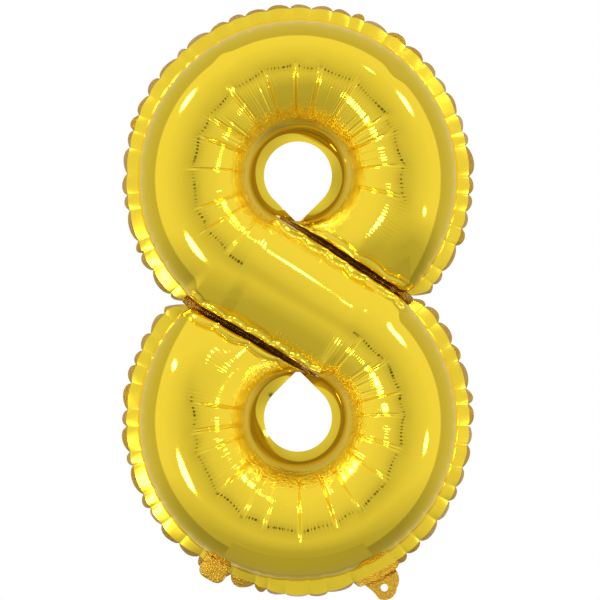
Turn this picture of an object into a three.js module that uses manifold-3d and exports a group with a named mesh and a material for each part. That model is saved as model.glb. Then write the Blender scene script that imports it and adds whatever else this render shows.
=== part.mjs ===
// Foil number balloon, figure 8, inflated. Millimetres, +Z up, the face looks along -Y.
//
// Two films of metallised plastic are cut to the outline of an 8 and heat-sealed together: round the
// outside, round both eyes, and along a short strip at each side of the waist. The gas then fills one
// S-shaped tube whose two blunt ends lie against its diagonal. A punched tab and an inflation neck with a
// one-way valve stand out of the lower margin. The origin is where the back of the diagonal would touch a
// wall. Film and seal are drawn thicker than the real 0.03 mm so that each is a solid of its own.
import * as THREE from "three";
import { ParametricGeometry } from "three/addons/geometries/ParametricGeometry.js";
import { mergeGeometries, mergeVertices } from "three/addons/utils/BufferGeometryUtils.js";
import Module from "manifold-3d";

const wasm = await Module();
wasm.setup();

// ---- driving dimensions ----
const LOOP_OFFSET = 70.8; // each loop's centre, above or below the middle of the 8
const SPINE_RADIUS = 60.3; // of the tube's centre line round a loop
const TUBE_WIDTH = 67.3; // seam to seam, inflated
const DEPTH = 62; // front to back, inflated
const MARGIN = 9.7; // flat sealed margin outside the outer seam
const EYE_RADIUS = 19.9; // of the hole through each loop
const END_OFFSET = 18.2; // from a loop's centre to the line that closes the tube's blunt end
const END_ROUNDING = 30; // how far the blunt end takes to reach full depth
const FILM = 0.5; // wall of a film
const SEAL = 0.3; // layer of fused sealant between the films
const GAP = 0.3; // between solids that touch on the real object
const NOTCH = new THREE.Vector2(67, 1.8); // bottom of the cut at the right side of the waist
const NOTCH_ANGLES = [-40.5, 41.5]; // where that cut leaves the upper and the lower loop's margin
const SLICES = 54; // steps along the tube
const STACKS = 10; // steps across it
const ARC_STEPS = 28; // steps of each arc in a flat outline
const PAST = 1; // how far a cutter runs past each face of the plate it cuts

// ---- worked out from them ----
const rad = THREE.MathUtils.degToRad;
const MID_Y = -DEPTH / 2; // the plane of the seams
const OUTER_SEAM = SPINE_RADIUS + TUBE_WIDTH / 2;
const INNER_SEAM = SPINE_RADIUS - TUBE_WIDTH / 2;
const EDGE_RADIUS = OUTER_SEAM + MARGIN;
const SLOPE = Math.acos(SPINE_RADIUS / LOOP_OFFSET); // of the diagonal, below horizontal
const DIAGONAL = 2 * LOOP_OFFSET * Math.sin(SLOPE);
const LEAVES_LOOP = 1.5 * Math.PI - SLOPE; // angle at which the tube leaves the upper loop
const FILM_PLANE = SEAL / 2 + GAP; // a film's inner face, from the plane of the seams
const LOWER_CENTRE = new THREE.Vector2(0, -LOOP_OFFSET);
const LOOP_SHARE = 24 / SLICES; // share of the slices that each loop takes
const END_SHARE = 6 / SLICES; // share of them at each blunt end where the depth falls away
const TURN_SHARE = 0.4; // share of a loop over which its slices turn from the blunt end's line to radial

const GOLD = { color: 0xe8c420, roughness: 0.12, metalness: 1 };
const SEALANT = { color: 0xd8cf9a, roughness: 0.5, metalness: 0 };
const VALVE_FILM = { color: 0xdde3e6, roughness: 0.35, metalness: 0 };

const balloon = new THREE.Group();

// ---- solids ----

// A closed geometry as a solid that can be joined and cut.
function solidOf(geometry) {
  const bare = geometry.clone();
  bare.deleteAttribute("normal");
  bare.deleteAttribute("uv");
  const merged = mergeVertices(bare, 1e-4);
  return new wasm.Manifold(
    new wasm.Mesh({
      numProp: 3,
      vertProperties: merged.attributes.position.array,
      triVerts: new Uint32Array(merged.index.array),
    }),
  );
}

function geometryOf(solid) {
  const mesh = solid.getMesh();
  return new THREE.BufferGeometry()
    .setAttribute("position", new THREE.BufferAttribute(mesh.vertProperties, 3))
    .setIndex(new THREE.BufferAttribute(mesh.triVerts, 1));
}

function add(name, solid, look, parent = balloon) {
  const geometry = geometryOf(solid);
  geometry.computeVertexNormals();
  const mesh = new THREE.Mesh(geometry, new THREE.MeshStandardMaterial(look));
  mesh.name = name;
  parent.add(mesh);
}

// A flat plate: shape drawn in X and Z, from low to low + thickness along Y.
function plate(shape, low, thickness) {
  const geometry = new THREE.ExtrudeGeometry(shape, {
    depth: thickness,
    bevelEnabled: false,
    curveSegments: ARC_STEPS,
  });
  geometry.rotateX(Math.PI / 2).translate(0, low + thickness, 0);
  return solidOf(geometry);
}

// ---- the S-shaped tube ----

function onCircle(centre, radius, angle) {
  return new THREE.Vector2(centre.x + radius * Math.cos(angle), centre.y + radius * Math.sin(angle));
}

// The two seam points of the tube in the upper loop, at share 0 (blunt end) to 1 (start of the diagonal).
function upperLoopSeams(share, inset) {
  const centre = new THREE.Vector2(0, LOOP_OFFSET);
  const outer = OUTER_SEAM - inset;
  const inner = INNER_SEAM + inset;
  const end = END_OFFSET - inset;
  const outerStart = -SLOPE - Math.asin(end / outer);
  const innerStart = -SLOPE - Math.asin(end / inner);
  const outerAngle = THREE.MathUtils.lerp(outerStart, LEAVES_LOOP, share);
  const catchUp = 1 - THREE.MathUtils.smoothstep(share, 0, TURN_SHARE);
  const innerAngle = outerAngle + (innerStart - outerStart) * catchUp;
  return [onCircle(centre, outer, outerAngle), onCircle(centre, inner, innerAngle)];
}

// The seam points on the tube's left and right side at along, from 0 at one blunt end to 1 at the other.
// The lower loop is the upper one turned by half a turn about the middle of the 8.
function seams(along, inset) {
  if (along <= LOOP_SHARE) return upperLoopSeams(along / LOOP_SHARE, inset);
  if (along >= 1 - LOOP_SHARE) {
    const [outer, inner] = upperLoopSeams((1 - along) / LOOP_SHARE, inset);
    return [inner.negate(), outer.negate()];
  }
  const share = (along - LOOP_SHARE) / (1 - 2 * LOOP_SHARE);
  const [outer, inner] = upperLoopSeams(1, inset);
  const step = new THREE.Vector2(Math.cos(SLOPE), -Math.sin(SLOPE)).multiplyScalar(DIAGONAL * share);
  return [outer.add(step), inner.add(step)];
}

// Depth of the tube at a point as a share of its full depth: 0 at the line that closes a blunt end.
function endFullness(along, point, inset) {
  if (along > END_SHARE && along < 1 - END_SHARE) return 1;
  const inUpper = along < 0.5 ? point : point.clone().negate();
  const aboveWaist = inUpper.x * Math.sin(SLOPE) + (inUpper.y - LOOP_OFFSET) * Math.cos(SLOPE);
  const fromEnd = Math.max(0, aboveWaist + END_OFFSET - inset);
  const short = Math.max(0, 1 - fromEnd / END_ROUNDING);
  return Math.sqrt(1 - short * short);
}

// Half of the tube as a solid, from base (off the plane of the seams) out to height. side is -1 for the
// front half and 1 for the back half. inset moves its outline inwards.
function halfTube(side, inset, base, height) {
  const surface = (domed) => (along, across, target) => {
    const [left, right] = seams(along, inset);
    const point = left.clone().lerp(right, (1 - Math.cos(Math.PI * across)) / 2);
    const crown = across === 0 || across === 1 ? 0 : Math.sin(Math.PI * across);
    const dome = domed ? endFullness(along, point, inset) * crown : 0;
    target.set(point.x, MID_Y + side * (base + (height - base) * dome), point.y);
  };
  const dome = new ParametricGeometry(surface(true), SLICES, STACKS);
  const floor = new ParametricGeometry(surface(false), SLICES, STACKS);
  flip(side < 0 ? floor : dome);
  return solidOf(mergeGeometries([dome, floor]));
}

function flip(geometry) {
  const order = geometry.index.array;
  for (let i = 0; i < order.length; i += 3) [order[i + 1], order[i + 2]] = [order[i + 2], order[i + 1]];
}

// ---- flat outlines ----

// The cut outline of the 8, moved inwards by inset, without its eyes.
function figureOutline(inset = 0) {
  const radius = EDGE_RADIUS - inset;
  const [upper, lower] = NOTCH_ANGLES.map(rad);
  const notch = NOTCH.clone().setX(NOTCH.x - inset);
  const shape = new THREE.Shape();
  shape.absarc(0, LOOP_OFFSET, radius, upper, Math.PI + lower, false);
  shape.lineTo(-notch.x, -notch.y);
  shape.absarc(0, -LOOP_OFFSET, radius, Math.PI + upper, 2 * Math.PI + lower, false);
  shape.lineTo(notch.x, notch.y);
  shape.closePath();
  return shape;
}

// An eye: a circle with a square corner towards the waist. up is 1 for the upper eye, -1 for the lower.
function eyeOutline(up, margin = 0) {
  const radius = EYE_RADIUS + margin;
  const turn = up > 0 ? 0 : Math.PI;
  const shape = new THREE.Shape();
  shape.absarc(0, up * LOOP_OFFSET, radius, turn - Math.PI / 4, turn + 1.25 * Math.PI, false);
  shape.lineTo(0, up * (LOOP_OFFSET - radius * Math.SQRT2));
  shape.closePath();
  return shape;
}

function disc(centre, radius) {
  return new THREE.Shape().absarc(centre.x, centre.y, radius, 0, 2 * Math.PI, false);
}

// A rectangle that stands out from the lower loop at angle: from near to far along the radius.
function radialRectangle(angle, near, far, halfWidth) {
  const out = new THREE.Vector2(Math.cos(angle), Math.sin(angle));
  const along = new THREE.Vector2(-out.y, out.x);
  const corner = (reach, side) =>
    LOWER_CENTRE.clone().addScaledVector(out, reach).addScaledVector(along, side * halfWidth);
  return new THREE.Shape([corner(near, -1), corner(far, -1), corner(far, 1), corner(near, 1)]);
}

// ---- inflation neck and its valve ----

const NECK = {
  angle: rad(-119.5), // round the lower loop
  root: 96.7, // from the loop's centre
  end: 106.5,
  halfWidth: 8,
  corner: 5,
  clearance: 0.8, // to each side of its slot
  slotEnd: 111.5, // past the margin's edge
};
const NECK_SLOT_ROOT = OUTER_SEAM + 1; // the margin is open from here outwards, so that the neck can fold
const VALVE = { sleeveEnd: 103, sleeveHalfWidth: 6, root: 92.6, length: 40, halfWidth: 6.5, film: 0.4 };

function neckSlot(low, thickness) {
  const shape = radialRectangle(NECK.angle, NECK_SLOT_ROOT, NECK.slotEnd, NECK.halfWidth + NECK.clearance);
  return plate(shape, low, thickness);
}

// The neck's outline: straight sides and a rounded end.
function neckOutline() {
  const out = new THREE.Vector2(Math.cos(NECK.angle), Math.sin(NECK.angle));
  const along = new THREE.Vector2(-out.y, out.x);
  const at = (reach, side) =>
    LOWER_CENTRE.clone().addScaledVector(out, reach).addScaledVector(along, side);
  const shape = new THREE.Shape();
  for (const side of [-1, 1]) {
    const centre = at(NECK.end - NECK.corner, side * (NECK.halfWidth - NECK.corner));
    const from = NECK.angle + (side < 0 ? -Math.PI / 2 : 0);
    shape.absarc(centre.x, centre.y, NECK.corner, from, from + Math.PI / 2, false);
  }
  for (const side of [1, -1]) {
    const corner = at(NECK.root, side * NECK.halfWidth);
    shape.lineTo(corner.x, corner.y);
  }
  shape.closePath();
  return shape;
}

function addNeck() {
  const sleeve = VALVE.film;
  const ply = neckOutline();
  add("neck_front_ply", plate(ply, MID_Y - sleeve / 2 - GAP - FILM, FILM), GOLD);
  add("neck_back_ply", plate(ply, MID_Y + sleeve / 2 + GAP, FILM), GOLD);
  const inside = radialRectangle(NECK.angle, NECK.root, VALVE.sleeveEnd, VALVE.sleeveHalfWidth);
  add("valve_sleeve", plate(inside, MID_Y - sleeve / 2, sleeve), VALVE_FILM);
}

// The two lips of the one-way valve lie against each other inside the tube, welded at the neck's root.
function addValveLips() {
  const lip = radialRectangle(NECK.angle, VALVE.root - VALVE.length, VALVE.root, VALVE.halfWidth);
  add("valve_front_lip", plate(lip, MID_Y - GAP / 2 - VALVE.film, VALVE.film), VALVE_FILM);
  add("valve_back_lip", plate(lip, MID_Y + GAP / 2, VALVE.film), VALVE_FILM);
}

// ---- punched tab ----

const TAB = {
  angle: rad(-62.5), // round the lower loop
  root: 104.7, // its straight root, from the loop's centre
  rootStart: -11,
  rootEnd: 10,
  curve: new THREE.Vector2(44.6, -170), // its left side bends towards here
  hole: new THREE.Vector2(50.6, -168.4),
  holeRadius: 2.2,
  endRadius: 7.2,
  endArc: [rad(240), rad(360)],
  thickness: 2 * FILM,
};

function addTab() {
  const out = new THREE.Vector2(Math.cos(TAB.angle), Math.sin(TAB.angle));
  const along = new THREE.Vector2(-out.y, out.x);
  const rootAt = (side) => LOWER_CENTRE.clone().addScaledVector(out, TAB.root).addScaledVector(along, side);
  const start = rootAt(TAB.rootStart);
  const finish = rootAt(TAB.rootEnd);
  const [from, to] = TAB.endArc;
  const bottomStart = onCircle(TAB.hole, TAB.endRadius, from);
  const shape = new THREE.Shape();
  shape.moveTo(start.x, start.y);
  shape.quadraticCurveTo(TAB.curve.x, TAB.curve.y, bottomStart.x, bottomStart.y);
  shape.absarc(TAB.hole.x, TAB.hole.y, TAB.endRadius, from, to, false);
  shape.lineTo(finish.x, finish.y);
  shape.closePath();
  shape.holes.push(disc(TAB.hole, TAB.holeRadius));
  add("tie_tab", plate(shape, MID_Y - TAB.thickness / 2, TAB.thickness), GOLD);
}

// ---- films ----

const OPEN_BELOW = 0.1; // the tube's hollow runs this far past the film's inner face, so it's open there

// One film: a flat sheet cut to the 8 with its eyes, blown out into half of the tube.
function film(side) {
  const low = side < 0 ? MID_Y - FILM_PLANE - FILM : MID_Y + FILM_PLANE;
  const sheet = [1, -1].reduce(
    (rest, up) => rest.subtract(plate(eyeOutline(up), low - PAST, FILM + 2 * PAST)),
    plate(figureOutline(), low, FILM),
  );
  const outside = halfTube(side, 0, FILM_PLANE, DEPTH / 2);
  const inside = halfTube(side, FILM, FILM_PLANE - OPEN_BELOW, DEPTH / 2 - FILM);
  return sheet.subtract(neckSlot(low - PAST, FILM + 2 * PAST)).add(outside).subtract(inside);
}

// ---- heat seals between the films ----

const SEAL_INSET = 1; // the seal stops this far inside a cut edge
const SEAL_SETBACK = 0.6; // and this far short of the tube
const PERIMETER_INSET = 8.3; // round the outside it reaches this far in from the cut edge
const WAIST_INSET = PERIMETER_INSET + 2 * GAP; // where the seals of the waist stop short of it
const SEAL_LOW = MID_Y - SEAL / 2;

function sealPlate(shape) {
  return plate(shape, SEAL_LOW, SEAL);
}

function sealCutter(shape) {
  return plate(shape, SEAL_LOW - PAST, SEAL + 2 * PAST);
}

function perimeterSeal() {
  return sealPlate(figureOutline(SEAL_INSET))
    .subtract(sealCutter(figureOutline(PERIMETER_INSET)))
    .subtract(neckSlot(SEAL_LOW - PAST, SEAL + 2 * PAST));
}

// The seal round one eye and along the waist from its corner towards the notch.
function innerSeal(up) {
  const centre = new THREE.Vector2(0, up * LOOP_OFFSET);
  const towardsWaist = new THREE.Vector2(-Math.sin(SLOPE), -Math.cos(SLOPE)).multiplyScalar(up);
  const towardsNotch = new THREE.Vector2(Math.cos(SLOPE), -Math.sin(SLOPE)).multiplyScalar(up);
  const at = (down, along) =>
    centre.clone().addScaledVector(towardsWaist, down).addScaledVector(towardsNotch, along);
  const near = END_OFFSET + SEAL_SETBACK;
  const far = INNER_SEAM - SEAL_SETBACK;
  const strip = new THREE.Shape([at(near, 0), at(far, 0), at(far, EDGE_RADIUS), at(near, EDGE_RADIUS)]);
  return sealPlate(disc(centre, far))
    .add(sealPlate(strip))
    .intersect(sealPlate(figureOutline(WAIST_INSET)))
    .subtract(sealCutter(eyeOutline(up, SEAL_INSET)));
}

add("front_film", film(-1), GOLD);
add("back_film", film(1), GOLD);
add("perimeter_seal", perimeterSeal(), SEALANT);
add("upper_inner_seal", innerSeal(1), SEALANT);
add("lower_inner_seal", innerSeal(-1), SEALANT);
addTab();
addNeck();
addValveLips();

export default balloon;
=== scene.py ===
import math

import bpy
import numpy as np
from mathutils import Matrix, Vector


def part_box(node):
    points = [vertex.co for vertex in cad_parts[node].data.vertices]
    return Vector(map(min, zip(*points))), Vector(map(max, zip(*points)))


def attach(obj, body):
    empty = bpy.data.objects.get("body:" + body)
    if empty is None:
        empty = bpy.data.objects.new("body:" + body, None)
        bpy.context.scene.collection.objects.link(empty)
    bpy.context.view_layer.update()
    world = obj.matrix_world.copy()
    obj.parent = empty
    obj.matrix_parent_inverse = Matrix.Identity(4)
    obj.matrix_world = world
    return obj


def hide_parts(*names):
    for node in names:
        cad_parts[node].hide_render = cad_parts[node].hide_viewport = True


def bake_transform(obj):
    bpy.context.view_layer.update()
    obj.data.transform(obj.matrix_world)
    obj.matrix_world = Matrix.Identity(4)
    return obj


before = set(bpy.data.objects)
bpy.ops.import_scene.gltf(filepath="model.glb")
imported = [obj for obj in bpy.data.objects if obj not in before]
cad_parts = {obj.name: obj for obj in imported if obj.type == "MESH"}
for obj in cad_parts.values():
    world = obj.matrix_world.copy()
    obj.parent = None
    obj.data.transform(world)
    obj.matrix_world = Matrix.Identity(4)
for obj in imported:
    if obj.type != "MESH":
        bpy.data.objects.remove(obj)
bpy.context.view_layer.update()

# ---- sizes from the frame ----
FRONT_LOW, FRONT_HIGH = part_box("front_film")
_, BACK_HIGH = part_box("back_film")
EYE_SEAL_LOW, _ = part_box("upper_inner_seal")
EDGE_RADIUS = FRONT_HIGH[0]
LOOP_Z = FRONT_HIGH[2] - EDGE_RADIUS
MID_Y = (FRONT_LOW[1] + BACK_HIGH[1]) / 2
HALF_DEPTH = BACK_HIGH[1] - MID_Y
MARGIN = 0.0097  # width of the welded margin
SEAL_SETBACK = 0.0006  # gap in the frame between the tube's inner seam and the seal of its eye
INNER = SEAL_SETBACK - EYE_SEAL_LOW[0]
OUTER = EDGE_RADIUS - MARGIN
WIDTH = OUTER - INNER
SPINE = (OUTER + INNER) / 2
SLOPE = math.acos(SPINE / LOOP_Z)
HALF_DIAGONAL = LOOP_Z * math.sin(SLOPE)
LEAVES_LOOP = 1.5 * math.pi - SLOPE  # angle at which the tube leaves the loop for the diagonal

# ---- the film's own sizes ----
END_OFFSET = 0.0254  # from a loop's centre to the line that closes the blunt end
NOTCH_ANGLE, NOTCH_REACH = math.radians(14.27), 0.0962  # the cut's bottom: below that line, from the centre
BACK_ANGLE, BACK_REACH = math.radians(47.3), 0.0988  # the same bottom as the other loop sees it
CUT_LEAVES = math.radians(40.5), math.radians(41.5)  # where the cut leaves the upper and the lower margin
FIRST, LAST = -SLOPE - NOTCH_ANGLE, math.pi + BACK_ANGLE  # the margin's ends round the upper loop
EYE_RADIUS = 0.0199
EYE_LIFT = 0.0020  # both eyes sit this much higher than the loops round them
PLY = 0.00008  # between the faces of the two films where they are welded
NECK_ANGLE = math.radians(-119.5)
NECK_SLOT = math.radians(4.6)  # half of the slot that the neck stands in
SLOT_ROOT = 0.12  # share of the margin's width below the slot
TAB_ANGLE = math.radians(-62.5)
TAB_HOLE, TAB_HOLE_RADIUS = np.array([0.0506, -0.1684]), 0.0022
NECK_BEND = 0.0948, 0.0972  # pairs of radii of the lower loop near the roots of the neck and the tab
TAB_BEND = 0.1030, 0.1050

# ---- the grids ----
COLUMNS, ROWS = 740, 50  # along half of the S, and across the tube
STRAIGHT = COLUMNS // 10  # those of the columns that lie on the diagonal
MARGIN_COLUMNS = 760
SLOT_ROWS = 5  # of the margin below the neck's slot


def smoothstep(low, high, x):
    t = np.clip((x - low) / (high - low), 0, 1)
    return t * t * (3 - 2 * t)


def band(x, up_from, up_to, down_from, down_to):
    """1 between up_to and down_from, with a smooth step down to 0 on either side."""
    return smoothstep(up_from, up_to, x) * (1 - smoothstep(down_from, down_to, x))


def hump(x, width):
    return np.exp(-((x / width) ** 2))


def wander(x, period, seed):
    """Smooth noise along a line, from -1 to 1."""
    octaves, cells, offset = 3, 4096, 1000
    total, size, weight = np.zeros_like(x, dtype=float), 0.0, 1.0
    for octave in range(octaves):
        grid = np.random.default_rng(seed + octave).uniform(-1, 1, cells)
        at = x / period * 2**octave + offset
        low = np.floor(at).astype(int)
        blend = at - low
        blend = blend * blend * (3 - 2 * blend)
        total += weight * (grid[low % cells] * (1 - blend) + grid[(low + 1) % cells] * blend)
        size += weight
        weight *= 0.5
    return total / size


def on_loop_at(radius, angle):
    """(x, z) of points round the upper loop's centre."""
    return radius * np.cos(angle), LOOP_Z + radius * np.sin(angle)


# ---- outline of one half of the S, in the upper loop's own place ----


def ruffle_borders(half):
    """Angles of the pinches between the ruffle's lobes."""
    count, unevenness = 40, 0.3
    borders = np.linspace(FIRST, LAST, count)
    shift = np.random.default_rng(seed=70 + half).uniform(-unevenness, unevenness, count)
    shift[[0, -1]] = 0
    return borders + shift * (borders[1] - borders[0])


def ruffle(half, angle):
    """Where each angle lies in its lobe, from 0 to 1, and the number of that lobe."""
    borders = ruffle_borders(half)
    place = np.clip(np.searchsorted(borders, angle) - 1, 0, len(borders) - 2)
    share = (angle - borders[place]) / (borders[place + 1] - borders[place])
    return np.clip(share, 0, 1), place


def outer_seam(half, angle):
    """Radius of the tube's edge round the upper loop: its outer seam, and the line that closes its end."""
    sharpness, pinch, fade, tiny = 11, 0.0006, 0.1, 1e-3
    below = np.sin(np.clip(-SLOPE - angle, tiny, math.pi / 2))
    radius = (OUTER**-sharpness + (END_OFFSET / below) ** -sharpness) ** (-1 / sharpness)
    share, _ = ruffle(half, angle)
    on_margin = smoothstep(FIRST, FIRST + fade, angle) * smoothstep(LAST, LAST - fade, angle)
    return radius - pinch * on_margin * (2 * share - 1) ** 4


def above_end(x, z):
    """Distance above the line that closes the upper loop's blunt end."""
    return x * math.sin(SLOPE) + (z - LOOP_Z) * math.cos(SLOPE) + END_OFFSET


def along_end(x, z):
    """Distance along that line, from the foot of the loop's centre."""
    return x * math.cos(SLOPE) - (z - LOOP_Z) * math.sin(SLOPE)


def pleat_angles(half):
    """Angles of the main pleats round one eye."""
    first, last = math.radians(-14), LEAVES_LOOP - math.radians(6)
    count, unevenness = 15, 0.3
    angles = np.linspace(first, last, count)
    shift = np.random.default_rng(seed=40 + half).uniform(-unevenness, unevenness, count)
    return angles + shift * (last - first) / count


def column_angles(half, count):
    """Angles of the columns round the loop, denser at the pleats."""
    from_corner, samples, extra, spread = 0.03, 8000, 2.5, 0.035
    start = -SLOPE - math.asin(END_OFFSET / INNER) + from_corner
    fine = np.linspace(start, LEAVES_LOOP, samples)
    density = np.ones_like(fine)
    for pleat in pleat_angles(half):
        density += extra * hump(fine - pleat, spread)
    total = np.concatenate([[0], np.cumsum((density[1:] + density[:-1]) / 2)])
    return np.interp(np.linspace(0, total[-1], count), total, fine)


def half_plane(half):
    """(x, z) of half of the tube's grid, its rows from the outer to the inner seam, and the loop angle."""
    angle = column_angles(half, COLUMNS - STRAIGHT)
    high = outer_seam(half, angle)
    across = (1 - np.cos(np.linspace(0, math.pi, ROWS + 1))) / 2
    radius = high[:, None] + (INNER - high)[:, None] * across[None, :]
    x, z = on_loop_at(radius, angle[:, None])
    step = (np.arange(1, STRAIGHT + 1) / STRAIGHT * HALF_DIAGONAL)[:, None]
    x = np.vstack([x, x[-1] + step * math.cos(SLOPE)])
    z = np.vstack([z, z[-1] - step * math.sin(SLOPE)])
    return x, z, np.concatenate([angle, LEAVES_LOOP + step[:, 0] / SPINE])


# ---- pleats, creases and dents; share is 0 at the tube's inner seam and 1 at its outer one ----
# Periods are in radians round the loop, or in shares of the tube's width.

RIPPLE_RATE = 190  # phase that the fine radial ripples gain in one radian round the loop
PLEATED = 0.055, 0.10, 0.40, 0.56  # the bands of the tube's width where each kind of wrinkle is
CRUMPLED = 0.05, 0.075, 0.12, 0.17
RIPPLED = 0.16, 0.26, 0.50, 0.62
COMBED = 0.14, 0.26, 0.48, 0.62
CRINKLED = 0.03, 0.06, 0.12, 0.20


def pleat_bulges(draws, borders, angle, share, radius):
    """Soft bulges between neighbouring pleats, each with its own height and lean."""
    steepness, heights, lean = 0.0105, (0.6, 1.25), 0.4
    place = np.searchsorted(borders, angle) - 1
    inside = (place >= 0) & (place < len(borders) - 1)
    low = borders[np.clip(place, 0, len(borders) - 2)]
    high = borders[np.clip(place + 1, 1, len(borders) - 1)]
    across = np.clip((angle - low) / (high - low), 0, 1)
    bulge = np.where(inside, 1 - (2 * across - 1) ** 2, 0)
    full = draws.uniform(*heights, len(borders))[np.clip(place, 0, len(borders) - 1)]
    twist = draws.uniform(-lean, lean, len(borders))[np.clip(place, 0, len(borders) - 1)]
    shape = full * bulge + twist * (2 * across - 1) * bulge
    return steepness * radius * band(share, *PLEATED) * shape[:, None]


def pleat_creases(draws, borders, angle, share, radius):
    """Two sharp creases at each pleat and shorter, weaker ones anywhere, each with a lip along one side."""
    long_reach, short_reach, fade = (0.46, 0.62), (0.22, 0.5), 0.16
    short_count, short_weight = 34, 0.45
    apart, depths, width = 0.0013, (0.00025, 0.00055), 0.00042
    lip_offset, lip_height, narrowing, eye_fade = 0.0008, 0.5, 0.4, (0.06, 0.09)
    lines = [(pleat, draws.uniform(*long_reach), 1.0) for pleat in borders]
    for _ in range(short_count):
        place = draws.uniform(borders[0], borders[-1])
        lines.append((place, draws.uniform(*short_reach), short_weight))
    rise = np.zeros_like(share)
    for place, reach, weight in lines:
        for offset in draws.uniform(-apart, apart, 2 if weight == 1 else 1):
            away = (angle - place)[:, None] * radius + offset * (narrowing + share)
            depth = weight * draws.uniform(*depths) * band(share, *eye_fade, reach - fade, reach)
            rise -= depth * hump(away, width)
            rise += lip_height * depth * hump(away - lip_offset, width)
    return rise


def ripples(seed, angle, share):
    """Fine radial ripples round the eye, and crumpled film close to its seam."""
    height, strong, uneven, strength_period = 0.000058, 0.55, 0.45, 0.16
    drift, drift_period = 2.5, 0.12
    crumple_height, around_period, outward_period = 0.00022, 0.022, 0.025
    wave = np.sin(angle * RIPPLE_RATE + drift * wander(angle, drift_period, seed + 11))[:, None]
    strength = strong + uneven * wander(angle, strength_period, seed + 17)[:, None]
    around = wander(angle, around_period, seed + 23)[:, None]
    outward = wander(share.ravel(), outward_period, seed + 29).reshape(share.shape)
    crumple = crumple_height * band(share, *CRUMPLED) * around * outward
    return height * strength * wave * band(share, *RIPPLED) + crumple


def pleats(half, side, angle, share, radius):
    """Height of the pleats above the smooth tube."""
    seed = 100 * half + (0 if side < 0 else 50)
    draws = np.random.default_rng(seed + 7)
    borders = pleat_angles(half)
    bulges = pleat_bulges(draws, borders, angle, share, radius)
    creases = pleat_creases(draws, borders, angle, share, radius)
    return bulges + creases + ripples(seed, angle, share)


DENTS = (122, 0.081, 0.0007), (47, 0.086, 0.0008)  # degrees round the loop, radius, depth


def dents(angle, radius):
    """Shallow dents in the smooth outer half."""
    half_long, half_wide = 0.0055, 0.0042
    total = np.zeros_like(radius)
    for degrees, out, depth in DENTS:
        along = (angle[:, None] - math.radians(degrees)) * out
        total -= depth * hump(along, half_long) * hump(radius - out, half_wide)
    return total


# ---- the tube ----

# Places of the pinches for each half of the S: along the blunt end, from the foot of the loop's centre,
# and along the diagonal, from where the tube leaves the loop.
PILLOWS = (0.001, 0.0246, 0.0526, 0.0742, 0.0925), (0.001, 0.028, 0.048, 0.069, 0.092)
GATHERS = (-0.018, -0.006, 0.007, 0.021, HALF_DIAGONAL), (-0.016, -0.007, 0.010, 0.024, HALF_DIAGONAL)
LOBE_ROUNDNESS = 0.6
END_CREASE, FLANK_CREASE, CREASE_WIDTH = 0.0009, 0.0006, 0.0008
PHASE_UNIT = 1000  # the marks hold the ripples' phase divided by this


def lobes(t, borders):
    """0 at the pinched borders of a row of lobes, 1 in the middle of each lobe."""
    lobe = np.zeros_like(t)
    for low, high in zip(borders[:-1], borders[1:]):
        share = np.clip((t - low) / (high - low), 0, 1)
        lobe = np.maximum(lobe, np.sin(math.pi * share))
    return lobe


def crest_power(angle):
    """Power that moves the tube's crest outwards on the loops, where the pleats draw in its inner half."""
    middle, crest, top_shift, fade = 0.5, 0.53, 0.05, 0.6
    crest = crest + top_shift * np.clip(np.sin(angle), 0, 1) ** 2
    crest = middle + (crest - middle) * smoothstep(0, fade, LEAVES_LOOP - angle)
    return math.log(middle) / np.log(crest)


def pillow(distance, thick, top):
    """Height of a pillow from its seam to its crease: a steep wall and a nearly flat back."""
    squareness, bulge = 5, 0.0008
    u = np.clip(distance / thick, 0, 1)
    return top * np.sqrt(1 - (1 - u) ** squareness) + bulge * np.sin(math.pi * u) * u


def flank_height(to_seam):
    """Height of the diagonal beside its seams."""
    foot = 0.0145
    fall = 1 - np.clip(to_seam / (WIDTH / 2), 0, 1)
    return foot + (HALF_DEPTH - foot) * (1 - fall**2)


def painted_crease_shade(distance, depth, reach):
    """Painted shade beside a seam or a crease: how far the film's colour is mixed towards the painted-shade
    colour.
    """
    return depth * np.exp(-distance / reach)


def normals(points, side):
    """Unit normals of a grid of points, on the outside of the film."""
    normal = np.cross(np.gradient(points, axis=0), np.gradient(points, axis=1))
    normal /= np.linalg.norm(normal, axis=-1, keepdims=True) + 1e-12
    return normal * np.sign(side * normal[..., 1:2] + 1e-9)


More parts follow.
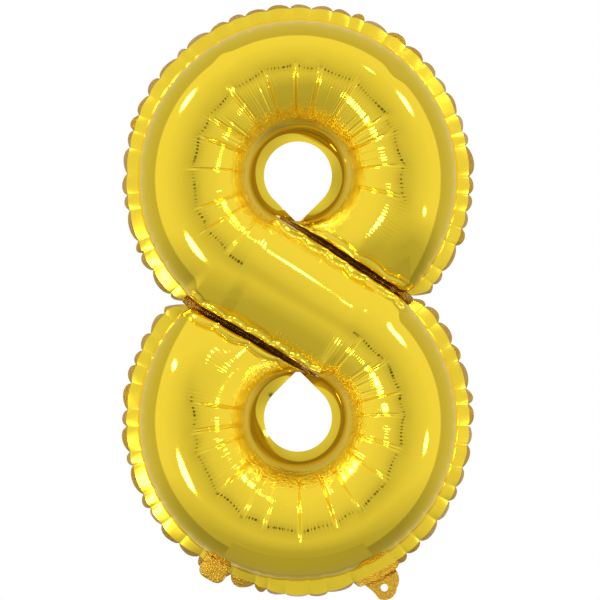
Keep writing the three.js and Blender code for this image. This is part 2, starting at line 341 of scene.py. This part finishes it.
class HalfTube:
    """Half of the tube's front or back film, side -1 or 1: the places of its points, and their marks of
    painted shade and wrinkles.
    """

    def __init__(self, half, side):
        end_angle, clear_of_end = math.radians(75), (0.008, 0.022)
        least_thick, lobe_thick, loop_fade = 0.0030, 0.0036, 0.25
        self.half, self.side = half, side
        self.x, self.z, self.angle = half_plane(half)
        self.radius = np.hypot(self.x, self.z - LOOP_Z)
        self.seam = outer_seam(half, self.angle)[:, None]
        self.share = self.share_across()
        self.near_end = (self.angle < end_angle)[:, None]
        self.above = np.clip(above_end(self.x, self.z), 0, None)
        self.lobe = lobes(along_end(self.x, self.z), PILLOWS[half])
        self.thick = least_thick + lobe_thick * self.lobe**LOBE_ROUNDNESS
        self.on_loop = smoothstep(LEAVES_LOOP + loop_fade, LEAVES_LOOP, self.angle)[:, None]
        self.from_end = np.where(self.near_end, smoothstep(*clear_of_end, self.above), 1)

    def share_across(self):
        """0 at the inner seam and 1 at the outer one, which the pinches draw in; half at the crest."""
        deepest, drawn_in = 0.0012, 0.93
        share = np.tile((1 + np.cos(np.linspace(0, math.pi, ROWS + 1))) / 2, (COLUMNS, 1))
        loop = slice(0, COLUMNS - STRAIGHT)
        pinch = OUTER - self.seam
        pinched = np.clip(pinch, 0, deepest)
        pinched = pinched * smoothstep(drawn_in * WIDTH, WIDTH, self.radius + pinch - INNER)
        share[loop] = np.clip((self.radius + pinched - INNER)[loop] / WIDTH, 0, 1)
        return share ** crest_power(self.angle)[:, None]

    def end_height(self):
        """Height near the blunt end: pillows, a crease behind them and a slope up to the full tube."""
        foot, taper, dip, dip_reach = 0.0165, 0.046, 0.0020, 0.018
        fall = 1 - np.clip((self.above - self.thick) / taper, 0, 1)
        full = foot + (HALF_DEPTH - foot) * (1 - fall**2)
        full -= END_CREASE * np.exp(-(self.above - self.thick) / CREASE_WIDTH)
        full -= dip * (1 - self.lobe) ** 2 * np.exp(-self.above / dip_reach)
        return np.where(self.above < self.thick, pillow(self.above, self.thick, foot - END_CREASE), full)

    def diagonal_height(self):
        """Height of the diagonal, with a row of pillows along both of its seams."""
        least_thick, lobe_thick = 0.0022, 0.0024
        to_seam = np.minimum(self.share, 1 - self.share) * WIDTH
        gathers = lobes((self.angle[:, None] - LEAVES_LOOP) * SPINE, GATHERS[self.half])
        low = least_thick + lobe_thick * gathers**LOBE_ROUNDNESS
        flank = flank_height(to_seam) - FLANK_CREASE * np.exp(-np.clip(to_seam - low, 0, None) / CREASE_WIDTH)
        return np.where(to_seam < low, pillow(to_seam, low, flank_height(low) - FLANK_CREASE), flank)

    def height(self):
        """Height above the plane of the seams, without the pleats."""
        roundness, wall_height, wall_foot = 0.52, 0.020, 0.001
        outer_starts_sooner, fade = 0.24, (-0.02, 0.06)
        angle = self.angle[:, None]
        crown = (4 * np.clip(self.share * (1 - self.share), 0, None)) ** roundness
        height = np.where(self.near_end, self.end_height(), HALF_DEPTH) * crown
        wall = wall_height * np.sqrt(np.clip(self.seam - self.radius, 0, None) / wall_foot)
        height = np.minimum(height, np.where(angle < LEAVES_LOOP, wall, 1))
        past_loop = angle - LEAVES_LOOP + np.where(self.share < 0.5, 0, outer_starts_sooner)
        return height + (self.diagonal_height() - height) * smoothstep(*fade, past_loop) * (crown > 0)

    def wrinkles(self):
        """Height of the pleats and dents, less what flattens the diagonal's flanks into a ridge."""
        ridge_fade, ridge_slope, seam_fade = 0.15, 0.050, 0.06
        rise = pleats(self.half, self.side, self.angle, self.share, np.minimum(self.radius, OUTER))
        if self.half == 0:
            rise += dents(self.angle, np.where(self.share > 0.5, self.radius, 0))
        rise *= self.on_loop * self.from_end
        ridge = smoothstep(0, ridge_fade, self.angle - LEAVES_LOOP)[:, None]
        from_crest = np.abs(self.share - 0.5)
        return rise - ridge * ridge_slope * WIDTH * from_crest * smoothstep(0, seam_fade, 0.5 - from_crest)

    def points(self):
        smooth = np.stack([self.x, self.side * self.height(), self.z], axis=-1)
        return smooth + normals(smooth, self.side) * self.wrinkles()[..., None]

    def painted_shade_and_wrinkles(self):
        """Painted shade along the seams and creases, strength of the fine ripples and of the crinkles, and
        the ripples' phase.
        """
        inner, outer, closing, behind = (0.75, 0.0018), (0.5, 0.0006), (0.8, 0.0011), (0.55, 0.0005)
        diagonal_crinkle, least_comb, comb_period, drift, drift_period = 0.5, 0.35, 0.13, 0.6, 0.12
        # Painted shade: darker beside both seams, along the line that closes the blunt end and in the crease
        # behind its pillows.
        painted_shade = painted_crease_shade(self.share * WIDTH, *inner) + painted_crease_shade((1 - self.share) * WIDTH, *outer)
        end = painted_crease_shade(self.above, *closing)
        end = np.maximum(end, painted_crease_shade(np.abs(self.above - self.thick), *behind))
        painted_shade = np.maximum(painted_shade, np.where(self.near_end, end, 0))
        comb = band(self.share, *COMBED) * self.on_loop * self.from_end
        uneven = np.abs(wander(self.angle, comb_period, seed=600 + 10 * self.half + self.side))
        comb = comb * (least_comb + (1 - least_comb) * uneven)[:, None]
        crinkle = band(self.share, *CRINKLED) * np.maximum(self.on_loop, diagonal_crinkle)
        phase = self.angle * RIPPLE_RATE / (2 * math.pi)
        phase = phase + drift * wander(self.angle, drift_period, seed=640 + self.half)
        phase = np.repeat(phase[:, None], ROWS + 1, axis=1)
        return np.stack([np.clip(painted_shade, 0, 1), comb, crinkle, phase / PHASE_UNIT], axis=-1)


def lifted(points):
    """Raises the eyes and the diagonal a little, and leaves the outline where it is."""
    lifted_within, still_at = 0.35, 1.0
    x, z = points[..., 0], points[..., 2]
    from_centre = np.minimum(np.hypot(x, z - LOOP_Z), np.hypot(x, z + LOOP_Z))
    moved = points.copy()
    moved[..., 2] += EYE_LIFT * (1 - smoothstep(lifted_within, still_at, from_centre / OUTER))
    return moved


def turned(points):
    """Half a turn about the middle of the 8, seen from the front."""
    return points * np.array([-1, 1, -1])


def placed(half, points):
    """The upper loop's shape, turned to the lower loop for half 1, and lifted with the eyes."""
    return lifted(turned(points) if half else points)


# ---- meshes ----


class Sheet:
    """Collects grids of points into one mesh."""

    def __init__(self):
        self.points, self.faces, self.parts, self.painted_shade_and_wrinkles = [], [], [], []
        self.count, self.part = 0, 0
        self.creased = []  # points of a sharp ridge

    def add(self, grid, flip=False, painted_shade_and_wrinkles=0.0):
        """Adds a grid of columns x rows points, with the material that part numbers."""
        columns, rows = grid.shape[:2]
        column, row = np.meshgrid(np.arange(columns - 1), np.arange(rows - 1), indexing="ij")
        corner = (self.count + column * rows + row).ravel()
        quads = np.stack([corner, corner + rows, corner + rows + 1, corner + 1], axis=-1)
        self.faces.append(quads[:, ::-1] if flip else quads)
        self.painted_shade_and_wrinkles.append(np.broadcast_to(painted_shade_and_wrinkles, (columns, rows, 4)).reshape(-1, 4))
        self.parts.append(np.full(len(quads), self.part))
        self.points.append(grid.reshape(-1, 3))
        self.count += columns * rows


def mesh_object(name, sheet, materials):
    """A piece from a Sheet, whose points are given from the plane of the seams."""
    mesh = bpy.data.meshes.new(name)
    points = np.concatenate(sheet.points) + np.array([0, MID_Y, 0])
    mesh.from_pydata(points.tolist(), [], np.concatenate(sheet.faces).tolist())
    mesh.shade_smooth()
    for material in materials:
        mesh.materials.append(material)
    mesh.polygons.foreach_set("material_index", np.concatenate(sheet.parts).astype(np.int32))
    # The first channel of this attribute is painted shade; the others drive the film's bumps.
    painted_shade_and_wrinkles = mesh.color_attributes.new("painted_shade_and_wrinkles", "FLOAT_COLOR", "POINT")
    painted_shade_and_wrinkles.data.foreach_set("color", np.concatenate(sheet.painted_shade_and_wrinkles).ravel().astype(np.float32))
    if sheet.creased:
        ends = np.zeros(2 * len(mesh.edges), np.int32)
        mesh.edges.foreach_get("vertices", ends)
        sharp = np.isin(ends.reshape(-1, 2), sheet.creased).all(axis=1)
        mesh.attributes.new("sharp_edge", "BOOLEAN", "EDGE").data.foreach_set("value", sharp)
    piece = bpy.data.objects.new(name, mesh)
    bpy.context.scene.collection.objects.link(piece)
    return piece


def bends_at_root(piece, body, direction, first, last):
    """Bakes the piece's placement into its mesh; body, direction, first and last are not used."""
    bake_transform(piece)


def film(side):
    """One film: the tube's half, the margin outside it, the eye rings and the strips along the waist."""
    # Painted shade: each eye ring darkens towards its inner seam, and each waist strip takes the
    # painted-shade colour in full, as painted shadow.
    ring_shade, strip_shade = 0.45, 1.0
    sheet = Sheet()
    upper, lower = HalfTube(0, side), HalfTube(1, side)
    tube = np.concatenate([upper.points(), turned(lower.points())[::-1, ::-1][1:]])
    painted_shade_and_wrinkles = np.concatenate([upper.painted_shade_and_wrinkles(), lower.painted_shade_and_wrinkles()[::-1, ::-1][1:]])
    sheet.add(lifted(tube), side > 0, painted_shade_and_wrinkles)
    diagonal = np.arange(COLUMNS - STRAIGHT, COLUMNS + STRAIGHT)
    sheet.creased = (diagonal * (ROWS + 1) + ROWS // 2).tolist()
    for half in (0, 1):
        for sheet.part, span in enumerate(MARGIN_SPANS, 1):
            for grid in margin_parts(half, *span):
                sheet.add(placed(half, with_ply(grid, side)), side < 0)
        sheet.part = 0
        ring = eye_ring(half)
        shade = np.linspace(1, 0, ring.shape[1])[None, :, None] ** 2 * np.array([ring_shade, 0, 0, 0])
        sheet.add(placed(half, with_ply(ring, side)), side > 0, shade)
        sheet.part = 2
        sheet.add(placed(half, with_ply(waist_strip(half), side)), side > 0, np.array([strip_shade, 0, 0, 0]))
    return sheet


# ---- welded margins, the same for both films but for the ply between them ----

BAND = 0.68  # share of the margin that stays smooth; the crimped lobes outside it fold back
MARGIN_SPANS = (0, BAND, 5), (BAND, 1, 6)  # share of the margin where each starts and ends, and its rows
# How much further out than elsewhere the lobes of the lower margin fold: degrees round its loop, metres.
FOLD_SHIFTS = (
    (-135, 0), (-128, -0.0024), (-108, -0.0022), (-94, 0.0016),
    (-80, 0.0016), (-72, 0), (-62, -0.0008), (-50, 0),
)


def edge_radius(angle):
    """Radius of the cut edge of the margin round the upper loop, with the cuts at both sides of the waist."""
    knots = [FIRST, -CUT_LEAVES[0], math.pi + CUT_LEAVES[1], LAST]
    return np.interp(angle, knots, [NOTCH_REACH, EDGE_RADIUS, EDGE_RADIUS, BACK_REACH])


def fold_radius(half, angle):
    """Radius at which the lobes fold back; round the neck it lies further in."""
    radius = OUTER + BAND * (edge_radius(angle) - OUTER)
    if half == 1:
        knots = [(math.radians(degrees) + math.pi, shift) for degrees, shift in FOLD_SHIFTS]
        radius = radius + np.interp(angle, *zip(*knots), left=0, right=0)
    return radius


def margin_lobes(half, angle):
    """At each angle: the lobe's outline from 0 to 1, its height, its swing back, and 1 beside the tab."""
    most_lean, heights, swings, roundness = 0.5, (0.55, 1.0), (0.5, 1.3), 0.62
    beside_tab, tab_swing = (0.115, 0.145), 0.2
    share, place = ruffle(half, angle)
    count = len(ruffle_borders(half))
    draws = np.random.default_rng(seed=90 + half)
    lean = draws.uniform(-most_lean, most_lean, count)[place]
    tall = draws.uniform(*heights, count)[place]
    back = draws.uniform(*swings, count)[place]
    across = np.clip(share + lean * share * (1 - share), 0, 1)
    lobe = np.clip(np.sin(math.pi * across), 0, 1) ** roundness
    at_tab = np.zeros_like(angle)
    if half == 1:
        at_tab = 1 - smoothstep(*beside_tab, np.abs(angle - TAB_ANGLE - math.pi))
    lobe, tall = (value + (1 - value) * at_tab for value in (lobe, tall))
    return lobe, tall, back + (tab_swing - back) * at_tab, at_tab


def margin_at(half, angle, out):
    """Middle of the welded margin of the upper loop; out is 0 at the seam and 1 at the cut edge."""
    chord, least_band, least_lobe = 0.0009, 0.0008, 0.0002
    lean_back, less_below, from_cut = 0.0026, 0.0006, 0.2
    pinch_swing, low_lobe, fold_swing, curl, drift, drift_period = 0.0005, 0.4, 0.0044, 1.1, 0.0010, 0.35
    bottom = 0.5, 0.9  # how far down on its loop the margin starts to lean back less, and is done
    lobe, tall, back, at_tab = margin_lobes(half, angle)
    seam = outer_seam(half, angle)
    fold = np.maximum(fold_radius(half, angle) - chord * (1 - lobe), seam + least_band)
    edge = fold + (edge_radius(angle) - fold) * tall * lobe + least_lobe
    within = np.clip(out / BAND, 0, 1)
    beyond = np.clip((out - BAND) / (1 - BAND), 0, 1)
    radius = seam[:, None] + (fold - seam)[:, None] * within + (edge - fold)[:, None] * beyond
    below = smoothstep(*bottom, -np.sin(angle + half * math.pi))
    lean = (lean_back - less_below * below) * smoothstep(FIRST, FIRST + from_cut, angle)
    swing = pinch_swing * ((1 - lobe) * (low_lobe + (1 - low_lobe) * tall))[:, None] * within**2
    swing = swing + (fold_swing * back * lobe)[:, None] * beyond**curl
    swing = swing + lean[:, None] * out - (at_tab * lean)[:, None] * beyond
    swing = swing + drift * wander(angle, drift_period, seed=300 + half)[:, None] * out
    x, z = on_loop_at(radius, angle[:, None])
    return np.stack([x, swing, z], axis=-1)


def margin_parts(half, first_out, last_out, rows):
    """Grids of the margin; the lower loop's is open where the neck stands in its slot."""
    whole = np.linspace(FIRST, LAST, MARGIN_COLUMNS)
    if half == 0:
        return [margin_at(half, whole, np.linspace(first_out, last_out, rows)[None, :])]
    neck = NECK_ANGLE + math.pi
    low, high = neck - NECK_SLOT, neck + NECK_SLOT
    root = max(SLOT_ROOT, first_out)
    outer = np.linspace(root, last_out, rows)[None, :]
    before = np.append(whole[whole < low], low)
    after = np.append(high, whole[whole > high])
    parts = [margin_at(half, before, outer), margin_at(half, after, outer)]
    if root > first_out:
        parts.insert(0, margin_at(half, whole, np.linspace(first_out, root, SLOT_ROWS)[None, :]))
    return parts


def with_ply(grid, side):
    return grid + np.array([0, side * PLY / 2, 0])


def eye_cut(angle):
    """Radius of the cut edge of the upper eye: a circle with a square corner towards the waist."""
    corner = -math.pi / 2
    from_corner = np.abs((angle - corner + math.pi) % (2 * math.pi) - math.pi)
    return EYE_RADIUS / np.cos(np.clip(math.pi / 4 - from_corner, 0, None))


def eye_ring(half):
    """The welded ring inside the inner seam, buckled a little out of the plane of the seams."""
    columns, rows, least, forward, buckle, curl = 181, 10, 0.0015, 0.0016, 0.0012, 0.8
    two_waves, three_waves = 0.6, 0.4
    angle = np.linspace(0, 2 * math.pi, columns)
    share = np.linspace(0, 1, rows)[None, :]
    cut = eye_cut(angle)[:, None]
    start = np.where(cut > INNER - least, cut + least, INNER)
    wave = two_waves * np.cos(2 * angle + 0.6 + half) + three_waves * np.cos(3 * angle + 2 * half)
    bend = -forward * share**curl + buckle * wave[:, None] * share
    x, z = on_loop_at(start + (cut - start) * share, angle[:, None])
    return np.stack([x, bend, z], axis=-1)


def waist_strip(half):
    """The welded strip between the blunt end and the diagonal, from the eye to the notch."""
    start, past_notch, tuck, flare, flare_from = 0.004, 0.001, 0.0006, 0.0045, 0.088
    wave, wave_period, forward, roundness = 0.0016, 0.008, 0.0018, 0.5
    crumple, crumple_period, folds, skew, skew_period = 0.0012, 0.0045, 2.6, 3, 0.02
    samples, columns, rows = 400, 130, 8
    below = np.linspace(NOTCH_ANGLE, math.pi / 2, samples)
    seam = outer_seam(half, -SLOPE - below)
    t = np.linspace(start, NOTCH_REACH * math.cos(NOTCH_ANGLE) + past_notch, columns)
    near = np.interp(t, (seam * np.cos(below))[::-1], (seam * np.sin(below))[::-1]) - tuck
    near = np.maximum(near, np.where(t > seam[0] * math.cos(below[0]), t * math.tan(NOTCH_ANGLE), 0))
    past = np.clip(t - 2 * HALF_DIAGONAL, 0, None)
    far = INNER + tuck + OUTER - np.sqrt(OUTER**2 - past**2)
    far = far + (NOTCH_REACH * math.sin(NOTCH_ANGLE) + flare - far) * smoothstep(flare_from, t[-1], t)
    share = np.linspace(0, 1, rows)[None, :]
    below_centre = near[:, None] + (far - near)[:, None] * share
    inside = np.sin(math.pi * share) ** roundness
    turn = folds * math.pi * share + skew * wander(t, skew_period, seed=530)[:, None]
    crumpled = crumple * wander(t, crumple_period, seed=520 + half)[:, None] * np.sin(turn)
    fold = inside * (wave * wander(t, wave_period, seed=500 + half)[:, None] + crumpled) + forward * inside
    x = t[:, None] * math.cos(SLOPE) - below_centre * math.sin(SLOPE)
    z = LOOP_Z - t[:, None] * math.sin(SLOPE) - below_centre * math.cos(SLOPE)
    return np.stack([x, -fold, z], axis=-1)


# ---- neck and tab; the tab bends at its root ----


def neck_ply(side):
    """One ply of the flattened inflation neck, bulging over the valve's sleeve."""
    root, end, half_width, corner = 0.0939, 0.1066, 0.0081, 0.0050
    apart, closing, bulge, bump, crest = 0.0007, 0.0005, 0.0013, 0.0010, 0.42
    columns, rows, across_period, out_period = 41, 27, 0.55, 0.33
    across, out = np.meshgrid(np.linspace(-1, 1, columns), np.linspace(0, 1, rows), indexing="ij")
    radius = root + (end - root) * out
    past = np.clip(radius - (end - corner), 0, corner)
    sideways = across * (half_width - corner + np.sqrt(corner**2 - past**2))
    lengthwise = np.clip(1 - ((out - crest) / (1 - crest)) ** 4, 0, 1)
    puff = np.sqrt(np.clip(1 - across**2, 0, 1)) * np.sqrt(lengthwise)
    over_width = wander(across[:, 0], across_period, seed=811 + side)
    over_length = wander(out[0], out_period, seed=821 + side)
    bumps = over_width[:, None] * over_length[None, :]
    rise = apart - closing * out + bulge * puff + bump * puff * bumps
    ray = np.array([math.cos(NECK_ANGLE), math.sin(NECK_ANGLE)])
    x = radius * ray[0] - sideways * ray[1]
    z = -LOOP_Z + radius * ray[1] + sideways * ray[0]
    sheet = Sheet()
    sheet.add(np.stack([x, side * rise, z], axis=-1), side < 0)
    return sheet


def tab_outline(turn):
    """Distance from the tab's hole to its outline in each direction: root, curved side and round end."""
    root_radius, before_root, past_root, bend_point = 0.1012, 0.011, 0.010, np.array([0.0446, -0.170])
    end_radius, curve_ends, arc_starts = 0.0072, math.radians(240), math.radians(245)
    side_points, base_points = 24, 12
    ray = np.array([math.cos(TAB_ANGLE), math.sin(TAB_ANGLE)])
    along = np.array([-ray[1], ray[0]])
    root = np.array([0, -LOOP_Z]) + root_radius * ray
    start, finish = root - before_root * along, root + past_root * along
    bottom = TAB_HOLE + end_radius * np.array([math.cos(curve_ends), math.sin(curve_ends)])
    t = np.linspace(0, 1, side_points)[:, None]
    curve = (1 - t) ** 2 * start + 2 * t * (1 - t) * bend_point + t**2 * bottom
    arc = np.linspace(arc_starts, 2 * math.pi, side_points)
    arc = TAB_HOLE + end_radius * np.stack([np.cos(arc), np.sin(arc)], axis=-1)
    base = finish + (start - finish) * np.linspace(0, 1, base_points)[:, None]
    edge = np.concatenate([curve, arc, base]) - TAB_HOLE
    edge_turn, edge_reach = np.arctan2(edge[:, 1], edge[:, 0]), np.hypot(edge[:, 0], edge[:, 1])
    order = np.argsort(edge_turn)
    return np.interp(turn, edge_turn[order], edge_reach[order], period=2 * math.pi)


def tab():
    """The punched tab: both films welded together and embossed, with a hole."""
    wave, wave_length, root_bend, groove_shade = 0.0009, 0.0045, 0.0022, 0.12
    half_thick, embossed, weave_height, weave_pitch = 0.00022, 0.00010, 0.00022, 0.00042
    smooth_below, embossed_above, bend_radii = -0.170, -0.163, (0.1068, 0.1020)
    columns, rows = 97, 13
    turn = np.linspace(0, 2 * math.pi, columns)
    reach = tab_outline(turn)[:, None]
    out = np.linspace(0, 1, rows)[None, :]
    radius = TAB_HOLE_RADIUS + (reach - TAB_HOLE_RADIUS) * out
    x = TAB_HOLE[0] + radius * np.cos(turn)[:, None]
    z = TAB_HOLE[1] + radius * np.sin(turn)[:, None]
    near_root = smoothstep(smooth_below, embossed_above, z)
    bend = wave * np.sin((x - TAB_HOLE[0]) / wave_length) * near_root
    bend = bend + root_bend * smoothstep(*bend_radii, np.hypot(x, z + LOOP_Z))
    weave = np.sin((x + z) / weave_pitch) * np.sin((x - z) / weave_pitch)
    thick = half_thick + (embossed + weave_height * weave) * near_root * np.sin(math.pi * out)
    front = np.stack([x, bend - thick, z], axis=-1)
    back = np.stack([x, bend + thick, z], axis=-1)[:, ::-1]
    closed = np.concatenate([front, back, front[:, :1]], axis=1)
    sheet = Sheet()
    # Painted shade: the whole tab is mixed a little towards the painted-shade colour.
    sheet.add(closed, painted_shade_and_wrinkles=np.array([groove_shade, 0, 0, 0]))
    return sheet


# ---- materials ----

# The film's own gold; the crimped film's gold, darkened by painted shade; and the painted shade that seams,
# creases, the tab and the waist strips are mixed towards.
GOLD, SHADED_CRIMPED_GOLD, PAINTED_SHADE_GOLD = (0.98, 0.72, 0.035), (0.84, 0.49, 0.030), (0.40, 0.22, 0.03)
SEALANT, VALVE_FILM = (0.75, 0.66, 0.34), (0.80, 0.84, 0.86)


def maths(tree, operation, *values):
    """The output of a Math node; each input is a socket or a number."""
    node = tree.nodes.new("ShaderNodeMath")
    node.operation = operation
    for place, value in enumerate(values):
        if isinstance(value, bpy.types.NodeSocket):
            tree.links.new(value, node.inputs[place])
        else:
            node.inputs[place].default_value = value
    return node.outputs[0]


def noise(tree, scale, detail):
    node = tree.nodes.new("ShaderNodeTexNoise")
    node.inputs["Scale"].default_value = scale
    node.inputs["Detail"].default_value = detail
    place = tree.nodes.new("ShaderNodeTexCoord")
    tree.links.new(place.outputs["Object"], node.inputs["Vector"])
    return node.outputs["Fac"]


def gold_film(name, roughness, crimp_and_shade=0.0):
    """Gold metallised film. The mesh's marks drive its painted shade and its wrinkles; for crimped film it
    adds an embossed weave, a darker base colour of painted shade and a random mottle of painted shade.
    """
    crinkle_scale, weave_scale, mottle_scale, shade_mottle = 700, 900, 260, 0.6
    ripple_height, crinkle_height = 0.07, 0.5
    material = bpy.data.materials.new(name)
    material.use_nodes = True
    tree = material.node_tree
    shader = tree.nodes["Principled BSDF"]
    shader.inputs["Metallic"].default_value = 0.97
    shader.inputs["Roughness"].default_value = roughness
    shader.inputs["Coat Weight"].default_value = 0.25
    shader.inputs["Coat Roughness"].default_value = 0.06
    painted_shade_and_wrinkles = tree.nodes.new("ShaderNodeAttribute")
    painted_shade_and_wrinkles.attribute_name = "painted_shade_and_wrinkles"
    split = tree.nodes.new("ShaderNodeSeparateColor")
    tree.links.new(painted_shade_and_wrinkles.outputs["Color"], split.inputs["Color"])
    # Painted shade: the base colour is mixed towards the painted-shade colour by the marks' first channel.
    painted_shade_mix = tree.nodes.new("ShaderNodeMix")
    painted_shade_mix.data_type = "RGBA"
    painted_shade_mix.inputs["A"].default_value = (*(SHADED_CRIMPED_GOLD if crimp_and_shade else GOLD), 1)
    painted_shade_mix.inputs["B"].default_value = (*PAINTED_SHADE_GOLD, 1)
    shade = split.outputs["Red"]
    # Painted shade: on crimped film, random noise darkens the colour further.
    if crimp_and_shade:
        shade = maths(tree, "ADD", shade, maths(tree, "MULTIPLY", noise(tree, mottle_scale, 2), shade_mottle))
    tree.links.new(shade, painted_shade_mix.inputs["Factor"])
    tree.links.new(painted_shade_mix.outputs["Result"], shader.inputs["Base Color"])
    turn = maths(tree, "FRACT", maths(tree, "MULTIPLY", painted_shade_and_wrinkles.outputs["Alpha"], PHASE_UNIT))
    ripple = maths(tree, "POWER", maths(tree, "ABSOLUTE", maths(tree, "MULTIPLY_ADD", turn, 2.0, -1.0)), 2.0)
    ripple = maths(tree, "MULTIPLY", ripple, split.outputs["Green"])
    crinkle = maths(tree, "MULTIPLY", noise(tree, crinkle_scale, 3), split.outputs["Blue"])
    ripple = maths(tree, "MULTIPLY", ripple, ripple_height)
    height = maths(tree, "ADD", ripple, maths(tree, "MULTIPLY", crinkle, crinkle_height))
    if crimp_and_shade:
        height = maths(tree, "ADD", height, maths(tree, "MULTIPLY", noise(tree, weave_scale, 2), crimp_and_shade))
    bump = tree.nodes.new("ShaderNodeBump")
    bump.inputs["Strength"].default_value = 1.0
    bump.inputs["Distance"].default_value = 0.001
    tree.links.new(height, bump.inputs["Height"])
    tree.links.new(bump.outputs["Normal"], shader.inputs["Normal"])
    return material


def plastic(name, colour, roughness):
    material = bpy.data.materials.new(name)
    material.use_nodes = True
    shader = material.node_tree.nodes["Principled BSDF"]
    shader.inputs["Base Color"].default_value = (*colour, 1)
    shader.inputs["Roughness"].default_value = roughness
    return material


# ---- studio ----

# Level of the surroundings by the degrees off the direction of the camera.
OFF_CAMERA = (
    (0, 0.05), (2.2, 0.08), (3.6, 0.56), (8, 0.60), (20, 0.72), (30, 0.78), (45, 0.84), (60, 0.90),
    (81, 0.92), (85, 0.55), (100, 0.58), (120, 0.62), (150, 0.72), (165, 0.9), (170, 1.0), (180, 1.0),
)
# Level by the degrees above straight down; both levels are multiplied.
BY_HEIGHT = (0, 0.48), (30, 0.50), (44, 0.56), (58, 0.76), (70, 0.96), (80, 1.0), (180, 1.0)
# Degrees off the line of sight and round it, diameter in metres and level.
LAMPS = (
    (62, 142, 0.22, 14), (53, 38, 0.20, 14), (38, 210, 0.26, 14), (50, -15, 0.16, 12), (47, 58.4, 0.07, 14),
)


def ramp_node(tree, source, stops):
    """A grey ramp; stops are (degrees of 180, level)."""
    ramp = tree.nodes.new("ShaderNodeValToRGB")
    elements = ramp.color_ramp.elements
    while len(elements) < len(stops):
        elements.new(0.5)
    for element, (position, level) in zip(elements, stops):
        element.position = position / 180
        element.color = (level, level, level, 1)
    tree.links.new(source, ramp.inputs["Fac"])
    return ramp.outputs["Color"]


def surroundings():
    """Soft boxes all round, darker behind the balloon, below it and where the camera stands."""
    world = bpy.data.worlds.new("studio")
    bpy.context.scene.world = world
    world.use_nodes = True
    tree = world.node_tree
    place = tree.nodes.new("ShaderNodeTexCoord")
    split = tree.nodes.new("ShaderNodeSeparateXYZ")
    tree.links.new(place.outputs["Generated"], split.inputs["Vector"])
    off_camera = maths(tree, "ARCCOSINE", maths(tree, "MULTIPLY", split.outputs["Y"], -1.0))
    off_camera = maths(tree, "MULTIPLY", off_camera, 1 / math.pi)
    above = maths(tree, "ADD", maths(tree, "ARCSINE", split.outputs["Z"]), math.pi / 2)
    above = maths(tree, "MULTIPLY", above, 1 / math.pi)
    product = tree.nodes.new("ShaderNodeVectorMath")
    product.operation = "MULTIPLY"
    tree.links.new(ramp_node(tree, off_camera, OFF_CAMERA), product.inputs[0])
    tree.links.new(ramp_node(tree, above, BY_HEIGHT), product.inputs[1])
    tree.links.new(product.outputs[0], tree.nodes["Background"].inputs["Color"])


def floor():
    reach, level, grey, roughness = 0.62, -1.2, 0.48, 0.8
    corners = [(-reach, -reach, level), (reach, -reach, level), (reach, reach, level), (-reach, reach, level)]
    mesh = bpy.data.meshes.new("floor")
    mesh.from_pydata(corners, [], [(0, 1, 2, 3)])
    mesh.materials.append(plastic("floor", (grey, grey, grey), roughness))
    piece = bpy.data.objects.new("floor", mesh)
    bpy.context.scene.collection.objects.link(piece)


def lamp(name, off_camera, turn, size, level):
    """A round lamp of the given radiance, turned towards the origin."""
    distance = 1.3
    data = bpy.data.lights.new(name, "AREA")
    data.shape = "DISK"
    data.size = size
    data.energy = level * math.pi * math.pi * size**2 / 4
    light = bpy.data.objects.new(name, data)
    sideways = math.sin(off_camera)
    away = Vector((sideways * math.cos(turn), -math.cos(off_camera), sideways * math.sin(turn)))
    light.location = away * distance
    light.rotation_mode = "QUATERNION"
    light.rotation_quaternion = away.to_track_quat("Z", "Y")
    bpy.context.scene.collection.objects.link(light)


def camera():
    view_width, distance, sensor, aside = 0.3512, 2.6, 36.0, 0.0012
    data = bpy.data.cameras.new("camera")
    data.sensor_width = sensor
    data.lens = sensor * distance / view_width
    data.clip_end = 50
    piece = bpy.data.objects.new("camera", data)
    piece.location = (aside, MID_Y - distance, 0)
    piece.rotation_euler = (math.pi / 2, 0, 0)
    bpy.context.scene.collection.objects.link(piece)
    bpy.context.scene.camera = piece


# ---- the pieces ----


def add_films(materials):
    for name, side in (("front_film", -1), ("back_film", 1)):
        skin = mesh_object(name + "_skin", film(side), materials)
        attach(skin, "envelope")
        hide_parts(name)


def add_neck(material):
    for name, side in (("neck_front_ply", -1), ("neck_back_ply", 1)):
        ply = mesh_object(name + "_skin", neck_ply(side), [material])
        bends_at_root(ply, "neck", NECK_ANGLE, *NECK_BEND)
        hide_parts(name)


def add_tab(material):
    tab_skin = mesh_object("tie_tab_skin", tab(), [material])
    bends_at_root(tab_skin, "tab", TAB_ANGLE, *TAB_BEND)
    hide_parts("tie_tab")


def show_valve(material):
    """The valve's parts are shown as they are in the frame."""
    for name in ("valve_sleeve", "valve_front_lip", "valve_back_lip"):
        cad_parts[name].data.materials.clear()
        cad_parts[name].data.materials.append(material)


def seal_grids():
    """The grids of each region of the seal: the films' own without the ply, so that they cover it."""
    eyes = [[placed(half, eye_ring(half)[:, :-1]), placed(half, waist_strip(half))] for half in (0, 1)]
    rim = []
    for half in (0, 1):
        for span in MARGIN_SPANS:
            rim += [placed(half, grid) for grid in margin_parts(half, *span)]
    return ("perimeter_seal", rim), ("upper_inner_seal", eyes[0]), ("lower_inner_seal", eyes[1])


def add_seals(material):
    for name, grids in seal_grids():
        sheet = Sheet()
        for grid in grids:
            sheet.add(grid)
        piece = mesh_object(name + "_layer", sheet, [material])
        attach(piece, "envelope")
        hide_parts(name)


bpy.context.scene.view_settings.view_transform = "Standard"
camera()
surroundings()
for number, (off, turn, size, level) in enumerate(LAMPS):
    lamp("lamp_%d" % number, math.radians(off), math.radians(turn), size, level)
floor()
# The crimped gold is darkened with painted shade.
crimped = gold_film("gold_crimped_shaded", 0.26, 0.9)
add_films([gold_film("gold_film", 0.05), gold_film("gold_margin", 0.22), crimped])
add_neck(crimped)
add_tab(crimped)
show_valve(plastic("valve_film", VALVE_FILM, 0.3))
add_seals(plastic("sealant", SEALANT, 0.45))
